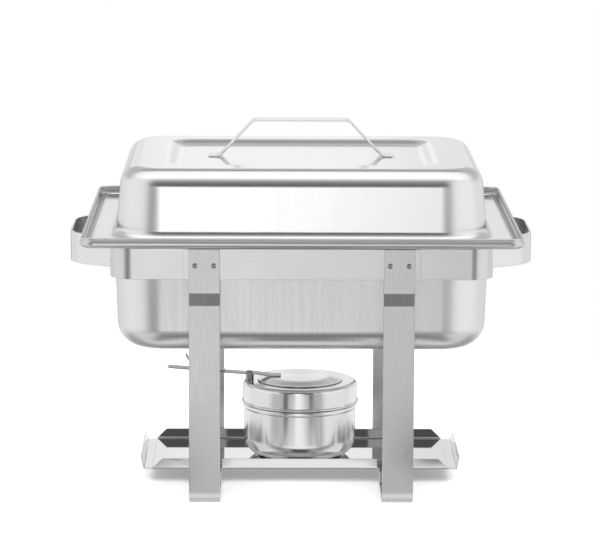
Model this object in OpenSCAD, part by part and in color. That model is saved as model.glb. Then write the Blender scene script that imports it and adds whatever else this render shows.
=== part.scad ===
// Table food warmer: flat-strip stand, water pan, food pan, domed lid, burner on a tray.
// Millimetres. X runs along the long side, -Y is the front, Z is up from the table.

/* [Food pan] */
// Length over the rim
pan_l = 325; // [290:1:360]
// Depth from front to back over the rim
pan_w = 265; // [240:1:300]
// Height from rim to bottom
pan_deep = 65; // [50:1:78]
// Width of the rim, from the wall to the edge
pan_rim = 14; // [12:0.5:18]
// Radius of the rim's corners in plan
rim_r = 16.5; // [10:0.5:24]
// Radius of the pans' and the lid's walls in plan
wall_r = 38; // [26:1:44]
// Radius between bottom and wall
pan_foot_r = 15; // [8:1:22]
// Slope of the food pan's wall, in degrees
pan_draft = 3; // [2.4:0.1:5]
// Height of the stacking step under the rim
step_h = 12; // [8:1:18]
// How far the wall steps in there
step_in = 1.2; // [0.6:0.1:2]
// Thickness of the pans' sheet
sheet = 0.8; // [0.6:0.1:1]

/* [Water pan] */
// Gap between the two pans' walls at the rim
bath_gap = 2.1; // [1.6:0.1:4]
// Height from the underside of the flange to the bottom
bath_deep = 89; // [82:1:96]
// Slope of the wall, in degrees
bath_draft = 2.2; // [1:0.1:2.4]
// Radius between bottom and wall
bath_foot_r = 20; // [12:1:26]
// Radius between wall and flange, which sits on the stand
seat_r = 4; // [3:0.25:5]
// How far the lip stands outside the food pan's rim
lip_out = 14.2; // [12:0.1:18]
// Radius of the lip's corners in plan
lip_corner = 12; // [8:0.5:18]
// Radius of the bend between flange and lip
lip_r = 3; // [2:0.25:3]
// Lean of the lip's upper part towards the lid, in degrees
lip_lean = 28; // [10:1:35]
// Height of the lip over the underside of the flange
lip_h = 8.4; // [8.2:0.2:12]
// Radius of the rolled edge on the lip
lip_bead = 1.1; // [0.8:0.1:1.5]

/* [Lid] */
// Height of the lid over its flange
lid_h = 55.7; // [40:0.5:80]
// How far the lid's flange stands outside the food pan's rim
lid_out = 6.5; // [3:0.5:7]
// Radius of the flange's corners in plan
lid_corner = 8; // [5:0.5:14]
// How far the lid's wall stands outside the food pan's wall
lid_wide = 1.5; // [0:0.1:3]
// Slope of the lid's wall, in degrees
lid_draft = 5; // [2:0.5:9]
// Radius of the shoulder
shoulder_r = 14.5; // [8:0.5:18]
// Radius between wall and flange
lid_foot_r = 8.4; // [5:0.2:10]
// Depth of the sunk panel in the top
panel_deep = 3.2; // [2:0.2:5]
// Distance from the wall to the panel's edge
panel_in = 37.5; // [30:0.5:48]
// Width of the slope round the panel
panel_slope = 15; // [13:0.5:22]
// Radius of the panel's corners at the upper edge
panel_r = 22; // [18:1:30]
// Radius of the rolled edge on the lid's flange
lid_bead = 0.9; // [0.7:0.1:1.1]
// Length of the lid's handle over its feet
grip_l = 154.6; // [120:1:180]
// Length of the handle's flat top
grip_top = 78.8; // [50:1:90]
// Length of each foot of the handle
grip_foot = 10.3; // [8:0.5:16]
// Height of the handle over the panel
grip_h = 30.7; // [20:0.1:45]
// Width of the handle's strip
grip_w = 20; // [14:1:30]
// Thickness of the handle's strip
grip_t = 1; // [0.8:0.1:2]
// Radius of its bends
grip_bend = 8; // [4:0.5:10]

/* [Stand] */
// Height of the rails' top edge over the table
stand_h = 208.5; // [190:1:240]
// Height of the rails
rail_h = 25; // [18:1:30]
// Thickness of rails and end bands
rail_t = 1.5; // [1:0.1:2]
// Radius of the end bands' corners
band_r = 17.3; // [8:0.5:24]
// Clearance between the pan's wall and the end bands
band_gap = 0.35; // [0.3:0.05:1]
// How far each rail runs past a leg
rail_past = 4.5; // [2:0.5:12]
// Distance between the two legs of one side, centre to centre
leg_pitch = 155.6; // [130:1:180]
// Width of the legs
leg_w = 25; // [18:1:32]
// Thickness of the legs
leg_t = 2; // [1.5:0.1:3]
// How far a leg steps in under the rail
joggle = 3.25; // [1:0.25:4]
// Height of that step
joggle_h = 11.5; // [8:0.5:16]
// Distance from the rail's bottom edge to the step
joggle_drop = 10; // [6:0.5:20]
// Outer radius of the foot bend
foot_r = 10; // [6:0.5:16]
// Radius of the rounded corners at a leg's top
leg_corner = 2; // [1:0.5:5]

/* [Rivets] */
// Radius of a rivet's shank
rivet_r = 1.6; // [1.2:0.1:2.2]
// Radius of its head
rivet_head_r = 2.5; // [2.4:0.1:3.5]
// Height of its head
rivet_head_h = 0.9; // [0.6:0.1:1.4]
// Distance between the two rivets of a leg
leg_rivet_pitch = 15; // [10:0.5:17]
// How far they sit below the middle of the rail
leg_rivet_drop = 0.8; // [0:0.1:4]
// Distance between the two rivets of a handle's foot
grip_rivet_pitch = 12; // [8:0.5:14]

/* [Carrying handles] */
// How far a handle stands out from its end band
carry_out = 36.8; // [28:0.5:50]
// Length of the grip between its corners
carry_l = 86; // [50:1:100]
// Distance between the inner ends of the feet
carry_span = 130; // [110:1:150]
// Radius of the grip's corners
carry_bend = 32; // [10:1:36]
// Length of a foot
carry_foot = 16; // [12:1:22]
// Thickness of the strip
carry_t = 1.5; // [1:0.1:2.5]

/* [Burner tray] */
// Length of the tray's floor
tray_l = 260; // [230:1:280]
// Depth of the tray's floor
tray_w = 114; // [108:1:130]
// Height of the tray over the table
tray_z = 12.6; // [9:0.2:18]
// Height of the flanges over the tray's underside
tray_flange = 9.1; // [6:0.1:12]
// Distance from a flange's end to the floor's end
tray_relief = 7.3; // [5:0.1:12]
// Lean of the end flaps, in degrees from upright
flap_lean = 18; // [5:1:30]
// Thickness of the tray
tray_t = 0.8; // [0.6:0.1:1.2]
// Length of the saddle on a leg strip, which the tray rests on
saddle_l = 106; // [80:1:108]

/* [Burner] */
// Outer radius of the cup
cup_r = 46.8; // [43:0.2:50]
// Height of the cup
cup_h = 52.6; // [50:0.2:56]
// Radius between the cup's bottom and wall
cup_foot_r = 16; // [8:1:22]
// Thickness of the cup's and the collar's sheet
cup_t = 0.7; // [0.5:0.1:0.8]
// Height of the formed ridge that the collar sits on, over the cup's bottom
ridge_z = 41; // [36:0.2:44]
// Clearance between cup and collar
collar_gap = 0.3; // [0.3:0.05:0.6]
// Height of the collar
collar_h = 18.1; // [14:0.1:20]
// Radius of the collar's mouth
mouth_r = 33; // [26:0.5:34]
// Depth of the mouth's turned-in edge
mouth_h = 2.8; // [2:0.2:4]
// Radius of the collar's upper edge
collar_edge_r = 3; // [2:0.25:4]
// Radius of the cover disc
disc_r = 35.8; // [35:0.1:36.4]
// How far the disc's middle rises
disc_rise = 2.2; // [1:0.2:3]
// Width of the disc's slope and edge round the raised middle
disc_slope = 10.8; // [8:0.2:14]
// Distance from the burner's axis to the cover's pivot
pivot_x = 42.4; // [41:0.2:43]
// Radius of the pivot rivet
pivot_r = 1.5; // [1.2:0.1:1.8]
// Radius of the bush under the arm
bush_r = 3.5; // [3:0.1:4]
// Height of the bush
bush_h = 5.2; // [4:0.1:6]
// Width of the cover's arm
arm_w = 12; // [9:0.5:14]
// Thickness of the arm
arm_t = 1; // [0.8:0.1:1.5]
// How far the arm reaches past the pivot
arm_reach = 69; // [58:1:80]
// Rise of the arm from the pivot to its tip
arm_rise = 5.2; // [3:0.2:8]
// Length of the arm's end that is welded to the disc
arm_lug = 9; // [6:0.5:14]
// Distance from the pivot to the bend of the thumb tab
tab_x = 34.5; // [28:0.5:38]
// Length of the tab's foot on the arm
tab_foot = 14; // [8:0.5:18]
// Width of the thumb tab
tab_w = 9; // [6:0.5:12]
// Height of the thumb tab over the arm
tab_h = 12.5; // [8:0.5:14]
// How far the tab leans towards the arm's tip
tab_lean = 19; // [12:0.5:20]

/* [Hidden] */
$fn = 96;
// Angle that one flat of a bend takes
bend_step = 10;
// Clearance round a shank in its hole, and between pieces that turn on each other
shank_gap = 0.05;
turn_gap = 0.1;
// Clearance between pieces that lift off each other
lift_gap = 0.3;
// Overshoot of a cut past the face that it opens
past = 1;
// Flat stretch that a wall's section shares with its flange
lap = 1.5;

steel = [0.78, 0.78, 0.79];
bright = [0.86, 0.86, 0.87];

// Corner centres of the walls in plan
wall_cl = pan_l / 2 - pan_rim - wall_r;
wall_cw = pan_w / 2 - pan_rim - wall_r;

// The water pan's wall, measured from its corner centre at the flange, in the sheet's middle
bath_rho = wall_r + bath_gap + sheet / 2;
bath_out = wall_r + bath_gap + sheet;
// The flange hangs over the rails by as much as its radius needs to sit on their inner edge
seat_drop = seat_r - sqrt(max(0, pow(seat_r - lift_gap, 2) - pow(seat_r - band_gap, 2)));
bath_under = stand_h + seat_drop;
bath_z = bath_under + sheet / 2;
bath_bottom = bath_under - bath_deep;
food_z = bath_z + sheet;
food_bottom = food_z + sheet / 2 - pan_deep;
lid_z = food_z + sheet;
lid_top = lid_z + sheet / 2 + lid_h;

// Inner faces of the end bands, and the faces outside them
band_l = wall_cl + bath_out + band_gap;
band_w = wall_cw + bath_out + band_gap;
rail_y = band_w + rail_t;
leg_y = rail_y + rail_t;
leg_x = leg_pitch / 2;
rail_mid = stand_h - rail_h / 2;
leg_low_y = leg_y + leg_t / 2 - joggle;
joggle_top = stand_h - rail_h - joggle_drop;

tray_top = tray_z + tray_t;
tray_end = tray_l / 2 - tray_relief;
flange_cut = tray_flange - tray_t;

cup_mid = cup_r - cup_t / 2;
ridge_out = 1.1;
ridge_h = 4.2;
ridge_top = tray_top + ridge_z + ridge_h;
collar_mid = cup_r + collar_gap + cup_t / 2;
collar_base = ridge_top + lift_gap;
collar_top = collar_base + collar_h;
collar_bead = 0.8;
collar_flare = 0.85;
disc_t = 0.8;
disc_z = collar_top + lift_gap + disc_t / 2;
disc_top = disc_z + disc_rise + disc_t / 2;
arm_seat = collar_top + bush_h + turn_gap;
arm_z = arm_seat + arm_t / 2;
pivot_head_r = 2.8;
pivot_head_h = 1.2;
pivot_tail_r = 2.4;
pivot_tail_h = 0.6;

// ---- Plane geometry of bent sheet ----

function unit(v) = v / norm(v);
function left_of(v) = [-v[1], v[0]];
function turn(v, a) = [v[0] * cos(a) - v[1] * sin(a), v[0] * sin(a) + v[1] * cos(a)];
function flip(list) = [for (i = [len(list) - 1:-1:0]) list[i]];
function mirror_path(list) = concat(list, [for (p = flip(list)) [-p[0], p[1], p[2]]]);

// The arc that rounds corner b between a and c with radius r
function bend(a, b, c, r) =
    let (
        u = unit(a - b),
        w = unit(c - b),
        half = acos(max(-1, min(1, u * w))) / 2,
        centre = b + unit(u + w) * r / sin(half),
        start = b + u * r / tan(half) - centre,
        side = sign(cross(b - a, c - b)),
        sweep = 180 - 2 * half,
        n = max(1, ceil(sweep / bend_step))
    )
    [for (k = [0:n]) centre + turn(start, side * sweep * k / n)];

// A path through corners [x, y, radius], with every radius drawn in
function rounded(pts) =
    let (last = len(pts) - 1, at = [for (p = pts) [p[0], p[1]]])
    [for (i = [0:last])
        each (i == 0 || i == last || pts[i][2] == 0
            ? [at[i]]
            : bend(at[i - 1], at[i], at[i + 1], pts[i][2]))];

// The path moved sideways by d, to its left
function beside(path, d) =
    let (last = len(path) - 1)
    [for (i = [0:last])
        let (
            before = left_of(unit(path[max(i, 1)] - path[max(i, 1) - 1])),
            after = left_of(unit(path[min(i, last - 1) + 1] - path[min(i, last - 1)])),
            n = unit(before + after)
        )
        path[i] + n * d / (n * before)];

// Points round the rolled edge at the end of a path
function rolled(path, t, r) =
    let (
        last = len(path) - 1,
        ahead = unit(path[last] - path[last - 1]) * r,
        a = 180 - asin(t / 2 / r),
        n = ceil(2 * a / (2 * bend_step))
    )
    [for (k = [0:n]) path[last] + turn(ahead, a - 2 * a * k / n)];

// Cross-section of a bent sheet; edge is the radius of a rolled edge at its end
module sheet_section(pts, t, edge = 0) {
    path = rounded(pts);
    inner = len(path) - 2;
    near = beside(path, t / 2);
    far = beside(path, -t / 2);
    if (edge > 0)
        polygon(concat([for (i = [0:inner]) near[i]], rolled(path, t, edge),
            [for (i = [inner:-1:0]) far[i]]));
    else
        polygon(concat(near, flip(far)));
}

// A flat strip of width w bent along a path
module strip(pts, t, w) {
    linear_extrude(w) sheet_section(pts, t);
}

// Sweeps a section round a rounded rectangle whose corner centres are at cl, cw
module drawn(cl, cw) {
    for (k = [0:3]) {
        a = k % 2 == 0 ? cl : cw;
        b = k % 2 == 0 ? cw : cl;
        rotate([0, 0, 90 * k]) translate([a, b, 0]) {
            rotate_extrude(angle = 90) children();
            rotate([90, 0, 0]) linear_extrude(2 * b) children();
        }
    }
}

// The flat middle that a drawn section leaves open
module middle(cl, cw, z, t) {
    translate([-cl, -cw, z - t / 2]) cube([2 * cl, 2 * cw, t]);
}

// A solid rounded rectangle, for cutting
module block(cl, cw, r, z0, z1) {
    drawn(cl, cw) translate([0, z0]) square([r, z1 - z0]);
    translate([-cl, -cw, z0]) cube([2 * cl, 2 * cw, z1 - z0]);
}

// A flat flange at height z that stands out by d past the food pan's rim, with corners of
// radius r; it is open inside the wall's outline, and its section is the child
module flange(z, open_r, d, r) {
    cl = pan_l / 2 + d - r;
    cw = pan_w / 2 + d - r;
    difference() {
        union() {
            drawn(cl, cw) children();
            middle(cl, cw, z, sheet);
        }
        block(wall_cl, wall_cw, open_r, z - past, z + past);
    }
}

// What is cut off a square corner to round it, standing on z from -h/2 to h/2
module corner_cut(r, h) {
    difference() {
        translate([0, 0, -h / 2]) cube([r + past, r + past, h]);
        cylinder(r = r, h = 3 * h, center = true);
    }
}

// ---- Stand ----

// Shank hole or shank along Z
module shank(r, h) {
    cylinder(r = r, h = h);
}

// Places children at the leg rivets, with Z pointing out of the stand
module at_leg_rivets() {
    for (sx = [-1, 1], sy = [-1, 1], k = [-1, 1])
        translate([sx * leg_x + k * leg_rivet_pitch / 2, sy * (leg_y + leg_t),
            rail_mid - leg_rivet_drop])
            rotate([-90 * sy, 0, 0]) children();
}

// Places children at the handle rivets of one end, with Z pointing out
module at_grip_rivets(side) {
    for (sy = [-1, 1], k = [-1, 1])
        translate([side * (band_l + rail_t + carry_t), sy * (carry_span + carry_foot) / 2,
            rail_mid + k * grip_rivet_pitch / 2])
            rotate([0, 90 * side, 0]) children();
}

module rivet_holes(depth) {
    translate([0, 0, -depth - past]) shank(rivet_r + shank_gap, depth + 2 * past);
}

// A rivet with its head on z = 0 and its shank going down through a stack of sheets
module rivet(stack) {
    tail_h = 0.4;
    dimple_r = rivet_r / 2;
    brow_r = (rivet_head_r + rivet_r) / 2;
    brow_h = rivet_head_h * 0.7;
    difference() {
        union() {
            cylinder(r1 = rivet_head_r, r2 = brow_r, h = brow_h);
            translate([0, 0, brow_h]) cylinder(r1 = brow_r, r2 = dimple_r, h = rivet_head_h - brow_h);
            translate([0, 0, -stack]) shank(rivet_r, stack);
            translate([0, 0, -stack - tail_h]) cylinder(r = rivet_head_r, h = tail_h);
        }
        translate([0, 0, rivet_head_h / 3]) cylinder(r = dimple_r, h = rivet_head_h);
    }
}

module end_band(side) {
    mid_l = band_l + rail_t / 2;
    mid_w = band_w + rail_t / 2;
    arm_x = leg_x - leg_w / 2;
    color(steel) difference() {
        translate([0, 0, stand_h - rail_h])
            strip([[side * arm_x, -mid_w, 0], [side * mid_l, -mid_w, band_r],
                [side * mid_l, mid_w, band_r], [side * arm_x, mid_w, 0]], rail_t, rail_h);
        at_leg_rivets() rivet_holes(leg_t + 2 * rail_t);
        at_grip_rivets(side) rivet_holes(carry_t + rail_t);
    }
}

module rail(side) {
    half = leg_x + leg_w / 2 + rail_past;
    color(steel) difference() {
        translate([-half, side * (rail_y + rail_t / 2) - rail_t / 2, stand_h - rail_h])
            cube([2 * half, rail_t, rail_h]);
        at_leg_rivets() rivet_holes(leg_t + rail_t);
    }
}

// One strip makes the front leg, its foot, the floor bar with the saddle, and the rear leg
module leg_strip(side) {
    top_y = leg_y + leg_t / 2;
    mid_r = foot_r - leg_t / 2;
    easy_r = 6;
    saddle_r = 5;
    saddle_run = 7;
    saddle_z = tray_z - leg_t / 2;
    half = [[-top_y, stand_h, 0], [-top_y, joggle_top, easy_r],
        [-leg_low_y, joggle_top - joggle_h, easy_r], [-leg_low_y, leg_t / 2, mid_r],
        [-saddle_l / 2 - saddle_run, leg_t / 2, saddle_r], [-saddle_l / 2, saddle_z, saddle_r]];
    color(steel) difference() {
        translate([side * leg_x - leg_w / 2, 0, 0]) rotate([90, 0, 90])
            strip(mirror_path(half), leg_t, leg_w);
        at_leg_rivets() rivet_holes(leg_t);
        for (sx = [-1, 1])
            translate([side * leg_x + sx * (leg_w / 2 - leg_corner), 0, stand_h - leg_corner])
                rotate([90, sx > 0 ? 0 : -90, 0]) corner_cut(leg_corner, 3 * leg_y);
    }
}

module leg_rivets() {
    color(bright) at_leg_rivets() rivet(leg_t + 2 * rail_t);
}

module carry_handle(side) {
    foot_x = band_l + rail_t + carry_t / 2;
    out_x = foot_x + carry_out - carry_t;
    foot_bend = 5;
    half = [[side * foot_x, -carry_span / 2 - carry_foot, 0], [side * foot_x, -carry_span / 2, foot_bend],
        [side * out_x, -carry_l / 2, carry_bend]];
    color(steel) difference() {
        translate([0, 0, stand_h - rail_h])
            strip(concat(half, [for (p = flip(half)) [p[0], -p[1], p[2]]]), carry_t, rail_h);
        at_grip_rivets(side) rivet_holes(carry_t);
    }
}

module handle_rivets() {
    color(bright) for (side = [-1, 1]) at_grip_rivets(side) rivet(carry_t + rail_t);
}

// ---- Pans and lid ----

module water_pan() {
    foot_rho = bath_rho - (bath_z - bath_bottom - sheet / 2) * tan(bath_draft);
    join_r = bath_rho + seat_r + lap;
    lip_rho = lip_corner - sheet / 2;
    lip_top = bath_under + lip_h - lip_bead;
    brow_h = 2.6;
    brow_r = 2.8;
    upright = 4;
    brow_rho = lip_rho - (lip_top - brow_h - bath_z) * tan(upright);
    floor_z = bath_bottom + sheet / 2;
    color(steel) {
        drawn(wall_cl, wall_cw)
            sheet_section([[0, floor_z, 0], [foot_rho, floor_z, bath_foot_r],
                [bath_rho, bath_z, seat_r + sheet / 2], [join_r, bath_z, 0]], sheet);
        middle(wall_cl, wall_cw, floor_z, sheet);
        flange(bath_z, join_r, lip_out, lip_corner)
            sheet_section([[0, bath_z, 0], [lip_rho, bath_z, lip_r], [brow_rho, lip_top - brow_h, brow_r],
                [brow_rho - brow_h * tan(lip_lean), lip_top, 0]], sheet, lip_bead);
    }
}

module food_pan() {
    rho = wall_r - sheet / 2;
    floor_z = food_bottom + sheet / 2;
    step_z = food_z - step_h;
    fall = tan(pan_draft);
    step_run = 3;
    foot_rho = rho - step_in - (food_z - floor_z) * fall;
    easy_r = 2;
    edge_r = 3.4;
    join_r = rho + edge_r + lap;
    color(steel) {
        drawn(wall_cl, wall_cw)
            sheet_section([[0, floor_z, 0], [foot_rho, floor_z, pan_foot_r],
                [rho - step_in - (step_h + step_run) * fall, step_z - step_run, easy_r],
                [rho - step_h * fall, step_z, easy_r], [rho, food_z, edge_r],
                [join_r, food_z, 0]], sheet);
        middle(wall_cl, wall_cw, floor_z, sheet);
        flange(food_z, join_r, 0, rim_r)
            sheet_section([[0, food_z, 0], [rim_r, food_z, 0]], sheet);
    }
}

module lid_shell() {
    crest_z = lid_top - sheet / 2;
    panel_z = crest_z - panel_deep;
    foot_rho = wall_r + lid_wide - sheet / 2;
    top_rho = foot_rho - (crest_z - lid_z) * tan(lid_draft);
    join_r = foot_rho + lid_foot_r + lap;
    panel_cl = wall_cl + wall_r + lid_wide - panel_in - panel_r;
    panel_cw = wall_cw + wall_r + lid_wide - panel_in - panel_r;
    level = 4;
    run = panel_slope - 2 * level;
    bend_share = 0.45;
    easy_r = bend_share * norm([run, panel_deep]) / tan(atan(panel_deep / run) / 2);
    color(bright) {
        difference() {
            union() {
                drawn(wall_cl, wall_cw)
                    sheet_section([[0, crest_z, 0], [top_rho, crest_z, shoulder_r],
                        [foot_rho, lid_z, lid_foot_r], [join_r, lid_z, 0]], sheet);
                middle(wall_cl, wall_cw, crest_z, sheet);
            }
            block(panel_cl, panel_cw, panel_r, crest_z - past, crest_z + past);
        }
        drawn(panel_cl, panel_cw)
            sheet_section([[0, panel_z, 0], [panel_r - panel_slope + level, panel_z, easy_r],
                [panel_r - level, crest_z, easy_r], [panel_r, crest_z, 0]], sheet);
        middle(panel_cl, panel_cw, panel_z, sheet);
        flange(lid_z, join_r, lid_out, lid_corner)
            sheet_section([[0, lid_z, 0], [lid_corner - lid_bead, lid_z, 0]], sheet, lid_bead);
    }
}

module lid_handle() {
    foot_z = lid_top - panel_deep + grip_t / 2;
    top_z = lid_top - panel_deep + grip_h - grip_t / 2;
    corner_r = 3;
    half = [[-grip_l / 2, foot_z, 0], [-grip_l / 2 + grip_foot, foot_z, grip_bend],
        [-grip_top / 2, top_z, grip_bend]];
    color(bright) difference() {
        translate([0, grip_w / 2, 0]) rotate([90, 0, 0]) strip(mirror_path(half), grip_t, grip_w);
        for (sx = [-1, 1], sy = [-1, 1])
            translate([sx * (grip_l / 2 - corner_r), sy * (grip_w / 2 - corner_r), foot_z])
                rotate([0, 0, sx > 0 ? (sy > 0 ? 0 : -90) : (sy > 0 ? 90 : 180)])
                    corner_cut(corner_r, 3 * grip_t);
    }
}

// ---- Burner tray ----

// A channel of the tray's sheet, with its flange ends cut off at 45 degrees
module tray_channel(half_w, lean, half_l) {
    mid_z = tray_z + tray_t / 2;
    reach = flange_cut * tan(lean);
    bend_r = 1.5;
    corner = [[-half_w - reach, tray_z + tray_flange, 0], [-half_w, mid_z, bend_r]];
    intersection() {
        translate([0, half_l, 0]) rotate([90, 0, 0]) strip(mirror_path(corner), tray_t, 2 * half_l);
        rotate([90, 0, 90]) linear_extrude(4 * half_w, center = true)
            polygon([[-half_l, tray_z - past], [half_l, tray_z - past], [half_l, tray_top],
                [half_l - flange_cut, tray_z + tray_flange + past], [flange_cut - half_l,
                tray_z + tray_flange + past], [-half_l, tray_top]]);
    }
}

module burner_tray() {
    slit = 2;
    color(bright) {
        rotate([0, 0, 90]) tray_channel(tray_w / 2 - tray_t / 2, 0, tray_end);
        tray_channel(tray_l / 2 - tray_t / 2, flap_lean, tray_w / 2 - slit);
    }
}

// ---- Burner ----

module burner_cup() {
    z = tray_top + cup_t / 2;
    low = tray_top + ridge_z;
    ridge_mid = cup_mid + ridge_out;
    easy_r = 0.8;
    color(bright) rotate_extrude()
        sheet_section([[0, z, 0], [cup_mid, z, cup_foot_r], [cup_mid, low, easy_r],
            [ridge_mid, low + ridge_out, easy_r], [ridge_mid, ridge_top - ridge_out, easy_r],
            [cup_mid, ridge_top, easy_r], [cup_mid, tray_top + cup_h, 0]], cup_t);
}

module burner_collar() {
    top = collar_top - cup_t / 2;
    bead_z = collar_base + collar_bead;
    mouth_bend = 1.6;
    flare_h = 1.4;
    flare_r = 1;
    color(bright) difference() {
        rotate_extrude()
            sheet_section([[mouth_r, collar_top - mouth_h, 0], [mouth_r, top, mouth_bend],
                [collar_mid, top, collar_edge_r], [collar_mid, bead_z + flare_h, flare_r],
                [collar_mid + collar_flare, bead_z, 0]], cup_t, collar_bead);
        translate([-pivot_x, 0, collar_top - 2 * cup_t]) shank(pivot_r + shank_gap, 3 * cup_t);
    }
}

module pivot_bush() {
    color(steel) translate([-pivot_x, 0, collar_top]) difference() {
        cylinder(r = bush_r, h = bush_h);
        translate([0, 0, -past]) shank(pivot_r + shank_gap, bush_h + 2 * past);
    }
}

module pivot_rivet() {
    low = collar_top - cup_t;
    high = arm_seat + arm_t + turn_gap;
    color(bright) translate([-pivot_x, 0, 0]) {
        translate([0, 0, low - pivot_tail_h]) cylinder(r = pivot_tail_r, h = pivot_tail_h);
        translate([0, 0, low]) shank(pivot_r, high - low);
        translate([0, 0, high]) cylinder(r1 = pivot_head_r, r2 = pivot_r, h = pivot_head_h);
    }
}

module cover_disc() {
    edge_w = 2;
    crown_r = 20;
    brim_r = 8;
    color(bright) rotate_extrude()
        sheet_section([[0, disc_z + disc_rise, 0], [disc_r - disc_slope, disc_z + disc_rise, crown_r],
            [disc_r - edge_w, disc_z, brim_r], [disc_r, disc_z, 0]], disc_t);
}

// Middle of the arm's strip, from its end on the disc to its tip
tip_x = -pivot_x - arm_reach;
seat_half = bush_r + 2;
lug_z = disc_top + arm_t / 2;
lug_x = disc_slope - disc_r;
arm_dip_r = 12;
arm_lift_r = 20;
arm_path = [[lug_x + arm_lug, lug_z, 0], [lug_x, lug_z, arm_dip_r],
    [-pivot_x + seat_half, arm_z, arm_dip_r], [-pivot_x - seat_half, arm_z, arm_lift_r],
    [tip_x, arm_z + arm_rise, 0]];
arm_slope = arm_rise / (arm_reach - seat_half);

// Height, at distance d past the pivot, of the middle of a strip that lies on the arm
function on_arm(d) = arm_z + (d - seat_half) * arm_slope + arm_t * sqrt(1 + pow(arm_slope, 2));

module cover_arm() {
    corner_r = 4;
    color(steel) difference() {
        translate([0, arm_w / 2, 0]) rotate([90, 0, 0]) strip(arm_path, arm_t, arm_w);
        translate([-pivot_x, 0, arm_z - 2 * arm_t]) shank(pivot_r + turn_gap, 4 * arm_t);
        for (sy = [-1, 1])
            translate([tip_x + corner_r, sy * (arm_w / 2 - corner_r), arm_z + arm_rise])
                rotate([0, 0, sy > 0 ? 90 : 180]) corner_cut(corner_r, 6 * arm_t);
    }
}

module thumb_tab() {
    lip_run = 3;
    lip_rise = 5.5;
    heel_r = 6;
    lip_r = 8;
    foot_x = -pivot_x - tab_x + tab_foot;
    bend_x = -pivot_x - tab_x;
    bend_z = on_arm(tab_x);
    color(steel) translate([0, tab_w / 2, 0]) rotate([90, 0, 0])
        strip([[foot_x, on_arm(tab_x - tab_foot), 0], [bend_x, bend_z, heel_r],
            [bend_x - tab_lean + lip_run, bend_z + tab_h - lip_rise, lip_r],
            [bend_x - tab_lean, bend_z + tab_h, 0]], arm_t, tab_w);
}

end_band(-1);  // left_end_band
end_band(1);  // right_end_band
rail(-1);  // front_rail
rail(1);  // rear_rail
leg_strip(-1);  // left_leg_strip
leg_strip(1);  // right_leg_strip
leg_rivets();
carry_handle(-1);  // left_handle
carry_handle(1);  // right_handle
handle_rivets();
water_pan();
food_pan();
lid_shell();
lid_handle();
burner_tray();
burner_cup();
burner_collar();
pivot_bush();
pivot_rivet();
cover_disc();
cover_arm();
thumb_tab();
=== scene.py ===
import math

import bmesh
import bpy
import numpy as np
from mathutils import Matrix, Vector


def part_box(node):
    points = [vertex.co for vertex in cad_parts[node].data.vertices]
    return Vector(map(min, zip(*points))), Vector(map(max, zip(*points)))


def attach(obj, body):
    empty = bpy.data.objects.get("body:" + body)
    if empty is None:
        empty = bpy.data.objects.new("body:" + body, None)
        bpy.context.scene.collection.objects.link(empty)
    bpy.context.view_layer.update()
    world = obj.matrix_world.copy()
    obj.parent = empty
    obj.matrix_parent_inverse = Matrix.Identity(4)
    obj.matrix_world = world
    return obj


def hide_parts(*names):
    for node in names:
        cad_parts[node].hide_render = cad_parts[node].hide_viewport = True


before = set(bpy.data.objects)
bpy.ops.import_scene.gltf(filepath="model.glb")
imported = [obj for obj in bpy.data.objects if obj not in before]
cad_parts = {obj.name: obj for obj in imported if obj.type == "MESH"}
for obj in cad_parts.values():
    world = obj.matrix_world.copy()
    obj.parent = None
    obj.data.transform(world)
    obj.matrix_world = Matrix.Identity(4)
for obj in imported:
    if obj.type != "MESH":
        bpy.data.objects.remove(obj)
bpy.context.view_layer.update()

MM = 0.001
DEG = math.radians(1)

# ---- Sizes that the CAD parts' boxes don't give ----

SHEET = 0.8 * MM            # pans and lid
RAIL_T = 1.5 * MM           # rails, end bands and carrying handles
LEG_T = 2.0 * MM
CUP_T = 0.7 * MM            # burner's cup and collar
EASE = 0.3 * MM             # rounding of cut edges, and lead of a bend
NEAREST = 0.001 * MM        # points of a path that are closer become one
BEND_STEP = 4 * DEG         # a bend's steps
CORNER_STEPS = 24           # steps of a corner in plan
ROUND_STEPS = 32            # steps of a quarter turn of the burner's pieces
SMOOTH_BELOW = 35 * DEG
LEVEL_ABOVE = 0.9           # upward part of the normal of a face that counts as level

WALL_CORNER = 38 * MM       # walls of lid and food pan, in plan
RIM_CORNER = 16.5 * MM      # food pan's rim
LIP_CORNER = 12 * MM        # water pan's lip
LID_CORNER = 8 * MM         # lid's flange
BAND_CORNER = 17.3 * MM     # end bands
PAN_RIM = 14 * MM           # width of the food pan's rim
GRIP_FOOT = 16 * MM         # straight foot of a carrying handle


# ---- Bent paths ----

def unit(v):
    return v / np.linalg.norm(v)


def turned(v, angle):
    """The plane vector v turned to the left."""
    c, s = math.cos(angle), math.sin(angle)
    return np.array([v[0] * c - v[1] * s, v[0] * s + v[1] * c])


def rounded(corners):
    """Points along corners (x, y, radius). Each corner becomes an arc, with short straight leads."""
    at = [np.array(c[:2], float) for c in corners]
    points = [at[0]]

    def lead_to(target):
        gap = target - points[-1]
        if np.linalg.norm(gap) > 3 * EASE:
            points.extend([points[-1] + unit(gap) * EASE, target - unit(gap) * EASE])
        points.append(target)

    for i in range(1, len(at) - 1):
        u, w, radius = unit(at[i - 1] - at[i]), unit(at[i + 1] - at[i]), corners[i][2]
        half = math.acos(np.clip(u @ w, -1, 1)) / 2
        centre = at[i] + unit(u + w) * radius / math.sin(half)
        start = at[i] + u * radius / math.tan(half) - centre
        sweep = (math.pi - 2 * half) * np.sign(u[1] * w[0] - u[0] * w[1])
        steps = max(2, math.ceil(abs(sweep) / BEND_STEP))
        lead_to(centre + start)
        points.extend(centre + turned(start, sweep * k / steps) for k in range(1, steps + 1))
    lead_to(at[-1])
    return np.array(points)


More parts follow.
